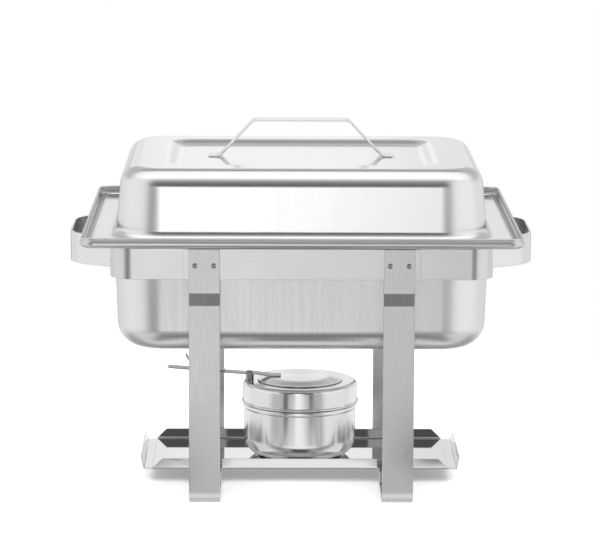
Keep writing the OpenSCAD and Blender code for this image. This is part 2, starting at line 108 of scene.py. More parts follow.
def beside(path, d):
    """The path moved sideways by d, to its left, mitred at every point."""
    along = path[1:] - path[:-1]
    along /= np.linalg.norm(along, axis=1)[:, None]
    left = np.stack([-along[:, 1], along[:, 0]], axis=1)
    before, after = np.vstack([left[:1], left]), np.vstack([left, left[-1:]])
    mean = before + after
    mean /= np.linalg.norm(mean, axis=1)[:, None]
    return path + mean * (d / (mean * before).sum(axis=1))[:, None]


def rolled(path, t, radius, points=12):
    """Points round the edge of the given radius that ends a sheet of thickness t."""
    ahead = unit(path[-1] - path[-2]) * radius
    reach = math.pi - math.asin(min(1, t / 2 / radius))
    return [path[-1] + turned(ahead, a) for a in np.linspace(reach, -reach, points)]


def mirrored(corners):
    """The corners, and then the same back on the other side of x = 0."""
    return corners + [(-x, y, r) for x, y, r in reversed(corners)]


# ---- Skins ----

def ring(centre, rho, z, steps):
    """A rounded rectangle at height z, with its corners' centres at centre and radius rho. Where centre is
    (0, 0) it is a circle, whose quarters share their ends."""
    ends_apart = any(centre)
    points = []
    for k, (sx, sy) in enumerate([(1, 1), (-1, 1), (-1, -1), (1, -1)]):
        for j in range(steps + ends_apart):
            a = (k + j / steps) * math.pi / 2
            points.append((sx * centre[0] + rho * math.cos(a), sy * centre[1] + rho * math.sin(a), z))
    return points


def drawn(parts, t, bead=0, steps=CORNER_STEPS):
    """Rings of a drawn sheet, from its middle over its edge and back on the other side. parts are
    (corner centre in plan, corners of the section). The first corner of each part is any point of the
    flat that it begins with. bead is the radius of a rolled edge."""
    near, far = [], []
    for centre, corners in parts:
        path = rounded(corners)
        near.append((centre, beside(path, t / 2)))
        far.append((centre, beside(path, -t / 2)))
    edge = rolled(path, t, bead or t / 2)
    near[-1] = (centre, np.vstack([near[-1][1][:-1], edge]))
    far[-1] = (centre, far[-1][1][:-1])
    rows = near + [(c, p[::-1]) for c, p in reversed(far)]
    return [ring(centre, rho, z, steps) for centre, path in rows for rho, z in path]


def turned_sheet(corners, t, bead=0):
    """Rings of a spun sheet whose section ends in free edges on both sides."""
    path = rounded(corners)
    section = np.vstack([beside(path, t / 2)[1:-1], rolled(path, t, bead or t / 2),
                         beside(path, -t / 2)[1:-1][::-1], rolled(path[::-1], t, t / 2)])
    return [ring((0, 0), rho, z, ROUND_STEPS) for rho, z in section]


def solid_of_revolution(corners):
    """Rings of a turned piece, from its axis to its axis."""
    return [ring((0, 0), rho, z, ROUND_STEPS) for rho, z in rounded(corners)]


def strip(corners, t, width, tips=(0, 0), edge=EASE):
    """Rings of a flat strip bent along corners, as points (x and y in the path's plane, w across it).
    width is a number, or a function that gives half the width at each point. tips are the radii of the
    strip's corners at both ends, and edge rounds all its cut edges."""
    path = rounded(corners)
    half = width if callable(width) else lambda points: np.full(len(points), width / 2)
    lengths = np.concatenate([[0], np.cumsum(np.linalg.norm(path[1:] - path[:-1], axis=1))])
    quarter = np.linspace(0, math.pi / 2, 7)
    stations = [lengths]
    for tip, flip in zip(tips, (False, True)):
        near_end = np.concatenate([r * (1 - np.cos(quarter)) for r in (edge, tip) if r] + [[edge + EASE]])
        stations.append(lengths[-1] - near_end if flip else near_end)
    s = np.unique(np.round(np.concatenate(stations), 7))
    s = s[np.concatenate([[True], np.diff(s) > NEAREST])]
    path = np.stack([np.interp(s, lengths, path[:, k]) for k in (0, 1)], axis=1)

    def lost(radius, run):
        """How far a rounding of this radius is short of full, at a distance run from the end."""
        inside = np.clip(1 - run / radius, 0, 1) if radius else np.zeros_like(run)
        return radius * (1 - np.sqrt(1 - inside ** 2))

    to_end = s[-1] - s
    thin = lost(edge, s) + lost(edge, to_end)
    narrow = thin + lost(tips[0], s) + lost(tips[1], to_end)
    edge_arc = [(b, 0) for b in (0, 30, 60, 90)]
    columns = []
    for a in range(0, 360, 90):
        side_t = math.copysign(1, math.cos((a + 45) * DEG))
        side_w = math.copysign(1, math.sin((a + 45) * DEG))
        # A point a little inside the strip's flat keeps that flat's shading flat.
        with_lead = [(0, EASE)] + edge_arc if a % 180 == 0 else edge_arc + [(90, EASE)]
        for b, lead in with_lead:
            offset = side_t * (t / 2 - edge - thin) + math.cos((a + b) * DEG) * edge
            points = np.array([beside(path, d)[i] for i, d in enumerate(offset)])
            across = side_w * (half(points) - edge - narrow - lead) + math.sin((a + b) * DEG) * edge
            columns.append(np.column_stack([points, across]))
    return np.stack(columns, axis=1)


def laid(rings, plane):
    """Turns a strip's points so that its path lies in the named plane and its width across it."""
    order = {"XY": (0, 1, 2), "YZ": (2, 0, 1), "XZ": (0, 2, 1)}[plane]
    return np.asarray(rings)[:, :, order]


def moved(rings, by):
    return np.asarray(rings) + np.array(by)


def mesh_of(name, skins):
    """One mesh from closed skins: rings joined in turn, and the ends capped, or joined if looped."""
    bm = bmesh.new()
    for rings, looped in skins:
        rows = [[bm.verts.new(p) for p in row] for row in rings]
        pairs = list(zip(rows, rows[1:])) + ([(rows[-1], rows[0])] if looped else [])
        for a, b in pairs:
            for i in range(len(a)):
                j = (i + 1) % len(a)
                bm.faces.new((a[i], a[j], b[j], b[i]))
        if not looped:
            bm.faces.new(reversed(rows[0]))
            bm.faces.new(rows[-1])
    bmesh.ops.recalc_face_normals(bm, faces=bm.faces)
    mesh = bpy.data.meshes.new(name)
    bm.to_mesh(mesh)
    bm.free()
    return finished(mesh)


def finished(mesh):
    mesh.shade_smooth()
    mesh.set_sharp_from_angle(angle=SMOOTH_BELOW)
    return mesh


def in_scene(name, data):
    obj = bpy.data.objects.new(name, data)
    bpy.context.scene.collection.objects.link(obj)
    return obj


def piece(name, mesh, body, slot, material, *nodes, other=None, where=None):
    """Puts a mesh in place of CAD nodes, riding on their body. The faces that where picks get the other
    material."""
    obj = in_scene(name, mesh)
    mesh.materials.clear()
    mesh.materials.append(material)
    if other:
        mesh.materials.append(other)
        for face in mesh.polygons:
            face.material_index = int(where(face))
    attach(obj, body)
    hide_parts(*nodes)


# ---- Node trees ----

class Wire:
    """An output socket of a node tree. Arithmetic on it adds Math nodes."""

    def __init__(self, tree, socket=None):
        self.tree, self.socket = tree, socket

    def add(self, kind, settings=None, inputs=None, out=0):
        """A new node: its settings first, then the values or links of its input sockets."""
        node = self.tree.nodes.new(kind)
        for name, value in (settings or {}).items():
            setattr(node, name, value)
        for name, value in (inputs or {}).items():
            if isinstance(value, Wire):
                self.tree.links.new(value.socket, node.inputs[name])
            else:
                node.inputs[name].default_value = value
        return Wire(self.tree, node.outputs[out]) if node.outputs else node

    def math(self, operation, *others):
        return self.add("ShaderNodeMath", {"operation": operation}, dict(enumerate((self, *others))))

    def __add__(self, other):
        return self.math("ADD", other)

    def __sub__(self, other):
        return self.math("SUBTRACT", other)

    def __rsub__(self, other):
        return self * -1 + other

    def __mul__(self, other):
        return self.math("MULTIPLY", other)

    def __truediv__(self, other):
        return self.math("DIVIDE", other)

    def __rtruediv__(self, other):
        return self.math("POWER", -1) * other

    __radd__, __rmul__ = __add__, __mul__

    def rises(self, low, high):
        """0 below low and 1 above high, with a soft step between."""
        return self.add("ShaderNodeMapRange", {"interpolation_type": "SMOOTHSTEP"},
                        {"Value": self, "From Min": low, "From Max": high})

    def within(self, low, high, soft):
        """1 between low and high, and 0 outside, with soft ends."""
        return self.rises(low - soft, low + soft) * (1 - self.rises(high - soft, high + soft))


MIX_A, MIX_B, MIX_OUT = 6, 7, 2     # a Mix node's colour sockets


def grey(value, warmth=0.0):
    return (value * (1 + warmth), value, value * (1 - warmth), 1)


def xyz(tree, vector):
    """The three parts of a vector."""
    parts = tree.add("ShaderNodeSeparateXYZ", inputs={"Vector": vector})
    return [Wire(tree.tree, part) for part in parts.socket.node.outputs]


def noise(tree, coordinates, scale, detail=2.0):
    """Noise whose frequency differs along the three axes, in cells per metre."""
    placed = tree.add("ShaderNodeMapping", {"vector_type": "POINT"},
                      {"Vector": coordinates, "Scale": scale})
    return tree.add("ShaderNodeTexNoise", {"noise_dimensions": "3D"},
                    {"Vector": placed, "Scale": 1.0, "Detail": detail, "Roughness": 0.55})


def new_material(name):
    """A material with an empty node tree, and that tree."""
    material = bpy.data.materials.new(name)
    material.use_nodes = True
    material.node_tree.nodes.clear()
    return material, Wire(material.node_tree)


def steel(name, tone, roughness, grain, grain_depth, brushed=0.0, level=False, sheen=0.02, waves=0.03,
          spun=False):
    """Bare steel of the given tone. grain is the grinding's cells per metre along each axis, or in radius
    and height on a spun piece. grain_depth and waves are the depths, in millimetres, of the grain and of
    the soft dents, and sheen is how much the roughness varies. brushed is how far the grinding smears a
    reflection across its lines, which stand upright or lie level."""
    material, tree = new_material(name)
    place = tree.add("ShaderNodeTexCoord", out="Object")
    along = place
    if spun:
        x, y, z = xyz(tree, place)
        along = tree.add("ShaderNodeCombineXYZ", inputs={"X": (x * x + y * y).math("SQRT"), "Z": z})
    finer = 4.1
    lines = noise(tree, along, grain, detail=3.0)
    scratches = noise(tree, along, tuple(finer * cells for cells in grain))
    clouds = noise(tree, place, (18, 18, 18))
    marks = (lines - 0.5) * 1.4 + (scratches - 0.5) * 0.7
    rough = (marks * sheen * 2 + (clouds - 0.5) * sheen + roughness).math("MAXIMUM", 0.02)
    dark, pale = grey(tone - 0.03, warmth=0.004), grey(tone + 0.02)
    colour = tree.add("ShaderNodeMix", {"data_type": "RGBA"},
                      {0: marks * 0.5 + 0.5, MIX_A: dark, MIX_B: pale}, out=MIX_OUT)
    height = marks * grain_depth + (clouds - 0.5) * waves
    normal = tree.add("ShaderNodeBump", inputs={"Strength": 1.0, "Distance": MM, "Height": height})
    shader = tree.add("ShaderNodeBsdfPrincipled", inputs={
        "Base Color": colour, "Metallic": 1.0, "Roughness": rough, "Normal": normal,
        "Anisotropic": brushed, "Anisotropic Rotation": 0.25 if level else 0.0})
    tree.add("ShaderNodeOutputMaterial", inputs={"Surface": shader})
    return material


BAND_STEEL = steel("ground_band_steel", tone=0.70, roughness=0.30, grain=(40, 40, 900), grain_depth=0.0015,
                   brushed=0.3, level=True, sheen=0.04)
LEG_STEEL = steel("ground_leg_steel", tone=0.66, roughness=0.26, grain=(900, 40, 40), grain_depth=0.003,
                  brushed=0.5, sheen=0.05)
GRIP_STEEL = steel("ground_grip_steel", tone=0.80, roughness=0.28, grain=(9, 9, 700), grain_depth=0.0015,
                   brushed=0.6, level=True)
RIVET_STEEL = steel("rivet_steel", tone=0.40, roughness=0.30, grain=(300, 300, 300), grain_depth=0.004)
PAN_STEEL = steel("drawn_pan_steel", tone=0.82, roughness=0.28, grain=(420, 420, 3), grain_depth=0.0002,
                  brushed=0.75, sheen=0.04, waves=0.006)
# The lip's grain and roughness are the rolled edge's own; its tone, darker than the pan's, is painted
# shade.
SHADED_LIP_STEEL = steel("rolled_lip_steel_painted_shade", tone=0.66, roughness=0.32, grain=(30, 30, 500), grain_depth=0.0004,
                  waves=0.004)
LID_STEEL = steel("polished_lid_steel", tone=0.84, roughness=0.24, grain=(260, 260, 4), grain_depth=0.0,
                  brushed=0.8, waves=0.004)
LID_TOP_STEEL = steel("polished_lid_top_steel", tone=0.84, roughness=0.12, grain=(90, 260, 4),
                      grain_depth=0.0002, waves=0.008)
LID_GRIP_STEEL = steel("ground_lid_grip_steel", tone=0.82, roughness=0.20, grain=(9, 700, 9),
                       grain_depth=0.003)
TRAY_STEEL = steel("polished_tray_steel", tone=0.78, roughness=0.05, grain=(8, 500, 500),
                   grain_depth=0.0004, waves=0.01)
BURNER_STEEL = steel("spun_burner_steel", tone=0.84, roughness=0.18, grain=(900, 1, 900), grain_depth=0.001,
                     brushed=0.6, level=True, spun=True)
ARM_STEEL = steel("ground_arm_steel", tone=0.46, roughness=0.30, grain=(9, 700, 9), grain_depth=0.004)


# ---- Stand ----

def stand_pieces():
    """End bands, rails, leg strips and carrying handles."""
    for side, name in ((-1, "left"), (1, "right")):
        low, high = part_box(f"{name}_end_band")
        middle_x = max(abs(low.x), abs(high.x)) - RAIL_T / 2
        start_x = min(abs(low.x), abs(high.x))
        middle_y = high.y - RAIL_T / 2
        corners = [(start_x, -middle_y, 0), (middle_x, -middle_y, BAND_CORNER),
                   (middle_x, middle_y, BAND_CORNER), (start_x, middle_y, 0)]
        rings = strip([(side * x, y, r) for x, y, r in corners], RAIL_T, high.z - low.z)
        mesh = mesh_of(f"{name}_band", [(moved(laid(rings, "XY"), (0, 0, (low.z + high.z) / 2)), False)])
        piece(f"{name}_end_band_steel", mesh, "stand", "band_steel", BAND_STEEL, f"{name}_end_band")
    for name in ("front", "rear"):
        low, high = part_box(f"{name}_rail")
        middle = (low + high) / 2
        rings = strip([(low.x, middle.y, 0), (high.x, middle.y, 0)], RAIL_T, high.z - low.z)
        mesh = mesh_of(f"{name}_rail", [(moved(laid(rings, "XY"), (0, 0, middle.z)), False)])
        piece(f"{name}_rail_steel", mesh, "stand", "band_steel", BAND_STEEL, f"{name}_rail")
    for name in ("left", "right"):
        leg_strip(name)
        carrying_handle(name)


def leg_strip(name):
    """Front leg, foot, floor bar with the raised saddle, and rear leg, of one strip."""
    joggle, joggle_h, joggle_drop = 3.25 * MM, 11.5 * MM, 10 * MM
    foot_bend, easy_bend, saddle_bend, saddle_run = 9 * MM, 6 * MM, 5 * MM, 7 * MM
    saddle_half = 53 * MM
    top_corner = 2 * MM
    low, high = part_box(f"{name}_leg_strip")
    tray_low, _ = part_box("burner_tray")
    band_low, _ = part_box("front_rail")
    top_y = high.y - LEG_T / 2
    low_y = top_y - joggle
    joggle_top = band_low.z - joggle_drop
    half = [(-top_y, high.z, 0), (-top_y, joggle_top, easy_bend),
            (-low_y, joggle_top - joggle_h, easy_bend), (-low_y, LEG_T / 2, foot_bend),
            (-saddle_half - saddle_run, LEG_T / 2, saddle_bend),
            (-saddle_half, tray_low.z - LEG_T / 2, saddle_bend)]
    rings = strip(mirrored(half), LEG_T, high.x - low.x, (top_corner, top_corner))
    mesh = mesh_of(f"{name}_leg", [(moved(laid(rings, "YZ"), ((low.x + high.x) / 2, 0, 0)), False)])
    piece(f"{name}_leg_strip_steel", mesh, "stand", "leg_steel", LEG_STEEL, f"{name}_leg_strip")


def carrying_handle(name):
    """A D of strip, with a foot at each end that lies flat on the end band."""
    foot_bend, grip_bend, grip_half, tip = 5 * MM, 32 * MM, 43 * MM, MM
    low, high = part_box(f"{name}_handle")
    side = 1 if high.x > 0 else -1
    out_x = max(abs(low.x), abs(high.x)) - RAIL_T / 2
    foot_x = min(abs(low.x), abs(high.x)) + RAIL_T / 2
    half = [(side * foot_x, -high.y, 0), (side * foot_x, GRIP_FOOT - high.y, foot_bend),
            (side * out_x, -grip_half, grip_bend)]
    rings = strip(half + [(x, -y, r) for x, y, r in reversed(half)], RAIL_T, high.z - low.z, (tip, tip))
    mesh = mesh_of(f"{name}_grip", [(moved(laid(rings, "XY"), (0, 0, (low.z + high.z) / 2)), False)])
    piece(f"{name}_handle_steel", mesh, "stand", "grip_steel", GRIP_STEEL, f"{name}_handle")


# ---- Rivets, set by Geometry Nodes ----

def rivet_tree():
    """Geometry Nodes that set a pair of blind rivets on every point of the input. The attribute 'along'
    gives the way from one to the other, and 'out' the way that their heads face."""
    tree = bpy.data.node_groups.new("rivet_pairs", "GeometryNodeTree")
    sockets = tree.interface
    sockets.new_socket("Seats", in_out="INPUT", socket_type="NodeSocketGeometry")
    for name in ("Pitch", "Head Radius", "Head Height", "Dimple Radius"):
        sockets.new_socket(name, in_out="INPUT", socket_type="NodeSocketFloat")
    sockets.new_socket("Steel", in_out="INPUT", socket_type="NodeSocketMaterial")
    sockets.new_socket("Rivets", in_out="OUTPUT", socket_type="NodeSocketGeometry")
    start = Wire(tree).add("NodeGroupInput")
    given = {o.name: Wire(tree, o) for o in start.socket.node.outputs if o.name}
    radius, height, dimple = given["Head Radius"], given["Head Height"], given["Dimple Radius"]

    dome = start.add("GeometryNodeMeshUVSphere", inputs={"Segments": 36, "Rings": 24, "Radius": radius})
    x, y, z = xyz(start, start.add("GeometryNodeInputPosition"))
    crown = (z * height / radius).math("MINIMUM", height * 0.9)
    in_dimple = (x * x + y * y).math("SQRT").math("LESS_THAN", dimple)
    lowered = crown - in_dimple * z.math("GREATER_THAN", 0.0) * height * 0.5
    head = start.add("GeometryNodeSetPosition", inputs={
        "Geometry": dome,
        "Position": start.add("ShaderNodeCombineXYZ", inputs={"X": x, "Y": y, "Z": lowered})})

    seats = []
    for sign in (-0.5, 0.5):
        along = start.add("GeometryNodeInputNamedAttribute", {"data_type": "FLOAT_VECTOR"},
                          {"Name": "along"})
        shift = start.add("ShaderNodeVectorMath", {"operation": "SCALE"},
                          {"Vector": along, "Scale": given["Pitch"] * sign})
        seats.append(start.add("GeometryNodeSetPosition",
                               inputs={"Geometry": given["Seats"], "Offset": shift}))
    both = tree.nodes.new("GeometryNodeJoinGeometry")
    for seat in seats:
        tree.links.new(seat.socket, both.inputs[0])
    out = start.add("GeometryNodeInputNamedAttribute", {"data_type": "FLOAT_VECTOR"}, {"Name": "out"})
    facing = start.add("FunctionNodeAlignRotationToVector", {"axis": "Z"}, {"Vector": out})
    placed = start.add("GeometryNodeInstanceOnPoints", inputs={
        "Points": Wire(tree, both.outputs[0]), "Instance": head, "Rotation": facing})
    real = start.add("GeometryNodeRealizeInstances", inputs={"Geometry": placed})
    dressed = start.add("GeometryNodeSetMaterial", inputs={"Geometry": real, "Material": given["Steel"]})
    start.add("NodeGroupOutput", inputs={"Rivets": dressed})
    return tree


def riveted(name, tree, seats, along, pitch, head, node):
    """Sets pairs of rivets on seats, a list of (place, outward direction), as one plain mesh. head is
    the radius and height of a rivet's head, and the radius of the dimple in it."""
    mesh = bpy.data.meshes.new(f"{name}_seats")
    mesh.from_pydata([place for place, _ in seats], [], [])
    for label, values in (("out", [out for _, out in seats]), ("along", [along] * len(seats))):
        mesh.attributes.new(label, "FLOAT_VECTOR", "POINT").data.foreach_set("vector", np.ravel(values))
    holder = in_scene(f"{name}_holder", mesh)
    modifier = holder.modifiers.new("rivets", "NODES")
    modifier.node_group = tree
    values = dict(zip(("Pitch", "Head Radius", "Head Height", "Dimple Radius"), (pitch, *head)),
                  Steel=RIVET_STEEL)
    for item in tree.interface.items_tree:
        if item.name in values:
            modifier[item.identifier] = values[item.name]
    seen = holder.evaluated_get(bpy.context.evaluated_depsgraph_get())
    made = bpy.data.meshes.new_from_object(seen)
    holder.modifiers.remove(modifier)
    bpy.data.objects.remove(holder)
    made.name = name
    piece(name, finished(made), "stand", "rivet_steel", RIVET_STEEL, node)


def rivets():
    """Two at the top of each leg, and two in each foot of the carrying handles."""
    head_r, dimple_r = 2.1 * MM, 0.9 * MM
    leg_pitch, grip_pitch = 15 * MM, 12 * MM
    tree = rivet_tree()
    rail_low, rail_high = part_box("front_rail")
    middle_z = (rail_low.z + rail_high.z) / 2
    heads_low, heads_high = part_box("leg_rivets")
    heads_z = (heads_low.z + heads_high.z) / 2
    legs = [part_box(f"{name}_leg_strip") for name in ("left", "right")]
    seats = [(((low.x + high.x) / 2, side * high.y, heads_z), (0, side, 0))
             for low, high in legs for side in (-1, 1)]
    head = (head_r, heads_high.y - legs[0][1].y, dimple_r)
    riveted("leg_rivets_steel", tree, seats, (1, 0, 0), leg_pitch, head, "leg_rivets")
    seats = []
    for name, side in (("left", -1), ("right", 1)):
        low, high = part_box(f"{name}_handle")
        face_x = min(abs(low.x), abs(high.x)) + RAIL_T
        foot_y = high.y - GRIP_FOOT / 2
        seats += [((side * face_x, end * foot_y, middle_z), (side, 0, 0)) for end in (-1, 1)]
    riveted("handle_rivets_steel", tree, seats, (0, 0, 1), grip_pitch, head, "handle_rivets")


# ---- Pans and lid ----

def rim_centre(node, corner):
    """Centre, in plan, of the corners of a rim that reaches the node's box."""
    _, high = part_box(node)
    return high.x - corner, high.y - corner


def wall_centre():
    """Centre, in plan, of the corners that the walls of both pans and the lid share."""
    return rim_centre("food_pan", PAN_RIM + WALL_CORNER)


def water_pan():
    """Floor, wall, and the flange that the food pan's rim rests on, with its upturned and rolled lip."""
    gap, draft, foot_bend, seat_bend = 2.1 * MM, 2.2 * DEG, 20 * MM, 4.4 * MM
    lap, lip_bend, bead, brow_h, brow_bend = 1.5 * MM, 3 * MM, 1.1 * MM, 2.6 * MM, 2.8 * MM
    upright, lean = 4 * DEG, 28 * DEG
    low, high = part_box("water_pan")
    floor_z = low.z + SHEET / 2
    flange_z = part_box("food_pan")[1].z - 1.5 * SHEET
    wall = WALL_CORNER + gap + SHEET / 2
    join = wall + seat_bend + lap
    lip, lip_top = LIP_CORNER - SHEET / 2, high.z - bead
    brow = lip - (lip_top - brow_h - flange_z) * math.tan(upright)
    rings = drawn([
        (wall_centre(), [
            (0.2 * wall, floor_z, 0), (wall - (flange_z - floor_z) * math.tan(draft), floor_z, foot_bend),
            (wall, flange_z, seat_bend), (join, flange_z, 0)]),
        (rim_centre("water_pan", LIP_CORNER), [
            (0.3 * lip, flange_z, 0), (lip, flange_z, lip_bend), (brow, lip_top - brow_h, brow_bend),
            (brow - brow_h * math.tan(lean), lip_top, 0)])],
        SHEET, bead)
    seat_z = flange_z - SHEET
    # The lip's faces, above the seat, get the darker steel, a painted shade.
    piece("water_pan_steel", mesh_of("water_pan_skin", [(rings, False)]), "water_pan", "pan_steel",
          PAN_STEEL, "water_pan", other=SHADED_LIP_STEEL, where=lambda face: face.center.z > seat_z)


def food_pan():
    """A deep pan whose wall steps in a little below its flat rim."""
    draft, foot_bend, rim_bend, easy_bend = 3 * DEG, 15 * MM, 3.4 * MM, 2 * MM
    step_h, step_run, step_in, lap = 12 * MM, 3 * MM, 1.2 * MM, 1.5 * MM
    low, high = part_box("food_pan")
    floor_z, rim_z = low.z + SHEET / 2, high.z - SHEET / 2
    wall = WALL_CORNER - SHEET / 2
    fall = math.tan(draft)
    rings = drawn([
        (wall_centre(), [
            (0.2 * wall, floor_z, 0), (wall - step_in - (rim_z - floor_z) * fall, floor_z, foot_bend),
            (wall - step_in - (step_h + step_run) * fall, rim_z - step_h - step_run, easy_bend),
            (wall - step_h * fall, rim_z - step_h, easy_bend), (wall, rim_z, rim_bend),
            (wall + rim_bend + lap, rim_z, 0)]),
        (rim_centre("food_pan", RIM_CORNER), [
            (0.5 * RIM_CORNER, rim_z, 0), (RIM_CORNER - SHEET / 2, rim_z, 0)])], SHEET)
    piece("food_pan_steel", mesh_of("food_pan_skin", [(rings, False)]), "food_pan", "pan_steel",
          PAN_STEEL, "food_pan")


def lid():
    """A dome with a sunk panel in its top, a wide shoulder, and a flat flange with a rolled edge."""
    draft, shoulder, foot_bend, bead, lap = 5 * DEG, 14.5 * MM, 8.4 * MM, 0.9 * MM, 1.5 * MM
    wide, panel_in, panel_slope, panel_corner = 1.5 * MM, 37.5 * MM, 15 * MM, 22 * MM
    level, bend_share = 4 * MM, 0.45
    _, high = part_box("lid_shell")
    foot_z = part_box("food_pan")[1].z + SHEET / 2
    crest_z = high.z - SHEET / 2
    panel_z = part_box("lid_handle")[0].z - SHEET / 2
    wall = WALL_CORNER + wide - SHEET / 2
    slope_run, depth = panel_slope - 2 * level, crest_z - panel_z
    slope_bend = bend_share * math.hypot(slope_run, depth) / math.tan(math.atan(depth / slope_run) / 2)
    panel_centre = tuple(c + WALL_CORNER + wide - panel_in - panel_corner for c in wall_centre())
    top = wall - (crest_z - foot_z) * math.tan(draft)
    edge = LID_CORNER - bead
    rings = drawn([
        (panel_centre, [
            (0.1 * panel_corner, panel_z, 0), (panel_corner - panel_slope + level, panel_z, slope_bend),
            (panel_corner - level, crest_z, slope_bend), (panel_corner, crest_z, 0)]),
        (wall_centre(), [
            (top - 1.2 * shoulder, crest_z, 0), (top, crest_z, shoulder), (wall, foot_z, foot_bend),
            (wall + foot_bend + lap, foot_z, 0)]),
        (rim_centre("lid_shell", LID_CORNER), [(0.6 * edge, foot_z, 0), (edge, foot_z, 0)])], SHEET, bead)
    piece("lid_shell_steel", mesh_of("lid_skin", [(rings, False)]), "lid", "lid_steel", LID_STEEL,
          "lid_shell", other=LID_TOP_STEEL, where=lambda face: face.normal.z > LEVEL_ABOVE)


def lid_handle():
    """A strip bent up from two feet in the lid's panel to a level grip."""
    foot, bend, thick, tip, top_half = 10.3 * MM, 8 * MM, MM, 3 * MM, 39.4 * MM
    low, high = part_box("lid_handle")
    half = [(low.x, low.z + thick / 2, 0), (low.x + foot, low.z + thick / 2, bend),
            (-top_half, high.z - thick / 2, bend)]
    rings = strip(mirrored(half), thick, high.y - low.y, (tip, tip))
    piece("lid_handle_steel", mesh_of("lid_grip", [(laid(rings, "XZ"), False)]), "lid", "lid_steel",
          LID_GRIP_STEEL, "lid_handle")


# ---- Tray and burner ----

def tray():
    """A folded sheet: the floor with its two long flanges, and a leaning flap at each end."""
    thick, bend, relief, slit, cut = 0.8 * MM, 1.5 * MM, 7.3 * MM, 2 * MM, 0.2 * MM
    lean = 18 * DEG
    low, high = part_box("burner_tray")
    middle_z, floor_top = low.z + thick / 2, low.z + thick
    flange_h = high.z - floor_top
    reach = flange_h * math.tan(lean)
    floor_half = high.x - reach - thick / 2 * (1 / math.cos(lean) + math.tan(lean))
    side = high.y - thick / 2
    floor_end = floor_half + thick / 2 - relief

    def cut_back(full):
        """Half a width that is full on the floor, and whose ends slope at 45 degrees up a flange."""
        return lambda points: full - np.maximum(0, points[:, 1] - floor_top)

    channel = strip(mirrored([(-side, high.z, 0), (-side, middle_z, bend)]), thick, cut_back(floor_end),
                    edge=cut)
    skins = [(laid(channel, "YZ"), False)]
    for end in (-1, 1):
        flap = strip([(end * floor_end, middle_z, 0), (end * floor_half, middle_z, bend),
                      (end * (floor_half + reach), high.z, 0)],
                     thick, cut_back(side + thick / 2 - slit), edge=cut)
        skins.append((laid(flap, "XZ"), False))
    piece("burner_tray_steel", mesh_of("tray_sheet", skins), "tray", "tray_steel", TRAY_STEEL,
          "burner_tray")


def burner():
    """The cup with a ridge under its neck, and the collar that is pressed over the neck."""
    foot_bend, ridge_z, ridge_out, ridge_h, easy_bend = 16 * MM, 41 * MM, 1.1 * MM, 4.2 * MM, 0.8 * MM
    cup_low, cup_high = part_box("burner_cup")
    cup_r = cup_high.x - ridge_out - CUP_T / 2
    floor_z, ridge_low = cup_low.z + CUP_T / 2, cup_low.z + ridge_z
    corners = [(0.1 * cup_r, floor_z, 0), (cup_r, floor_z, foot_bend), (cup_r, ridge_low, easy_bend),
               (cup_r + ridge_out, ridge_low + ridge_out, easy_bend),
               (cup_r + ridge_out, ridge_low + ridge_h - ridge_out, easy_bend),
               (cup_r, ridge_low + ridge_h, easy_bend), (cup_r, cup_high.z - CUP_T / 2, 0)]
    rings = drawn([((0, 0), corners)], CUP_T, steps=ROUND_STEPS)
    piece("burner_cup_steel", mesh_of("cup", [(rings, False)]), "burner", "burner_steel", BURNER_STEEL,
          "burner_cup")

    edge_bend, mouth_bend, mouth_r, mouth_h = 3 * MM, 1.6 * MM, 33 * MM, 2.8 * MM
    bead, flare, flare_h, flare_bend = 0.8 * MM, 0.85 * MM, 1.4 * MM, MM
    collar_low, collar_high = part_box("burner_collar")
    collar_r = collar_high.x - bead - flare
    top, bead_z = collar_high.z - CUP_T / 2, collar_low.z + bead
    corners = [(mouth_r, top - mouth_h + CUP_T, 0), (mouth_r, top, mouth_bend),
               (collar_r, top, edge_bend), (collar_r, bead_z + flare_h, flare_bend),
               (collar_r + flare, bead_z, 0)]
    rings = turned_sheet(corners, CUP_T, bead)
    piece("burner_collar_steel", mesh_of("collar", [(rings, True)]), "burner_lid", "burner_steel",
          BURNER_STEEL, "burner_collar")


def pivot():
    """The bush that holds the arm above the collar, and the rivet that the arm turns on."""
    hole_r, shank_r, head_r, tail_r = 1.55 * MM, 1.5 * MM, 2.8 * MM, 2.4 * MM
    head_h, head_bend, tail_h, tight, tiny = 1.2 * MM, 0.9 * MM, 0.6 * MM, 0.1 * MM, 0.05 * MM
    low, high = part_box("pivot_bush")
    place = ((low.x + high.x) / 2, 0, 0)
    rings = solid_of_revolution([(hole_r, low.z, 0), (high.y, low.z, EASE), (high.y, high.z, EASE),
                                 (hole_r, high.z, 0)])
    piece("pivot_bush_steel", mesh_of("bush", [(moved(rings, place), True)]), "burner_lid", "arm_steel",
          RIVET_STEEL, "pivot_bush")
    low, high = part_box("pivot_rivet")
    rings = solid_of_revolution([
        (tiny, low.z, 0), (tail_r, low.z, EASE), (tail_r, low.z + tail_h, tight),
        (shank_r, low.z + tail_h, tight), (shank_r, high.z - head_h, tight),
        (head_r, high.z - head_h, tight), (head_r, high.z, head_bend), (tiny, high.z, 0)])
    piece("pivot_rivet_steel", mesh_of("pivot", [(moved(rings, place), False)]), "burner_lid",
          "rivet_steel", RIVET_STEEL, "pivot_rivet")


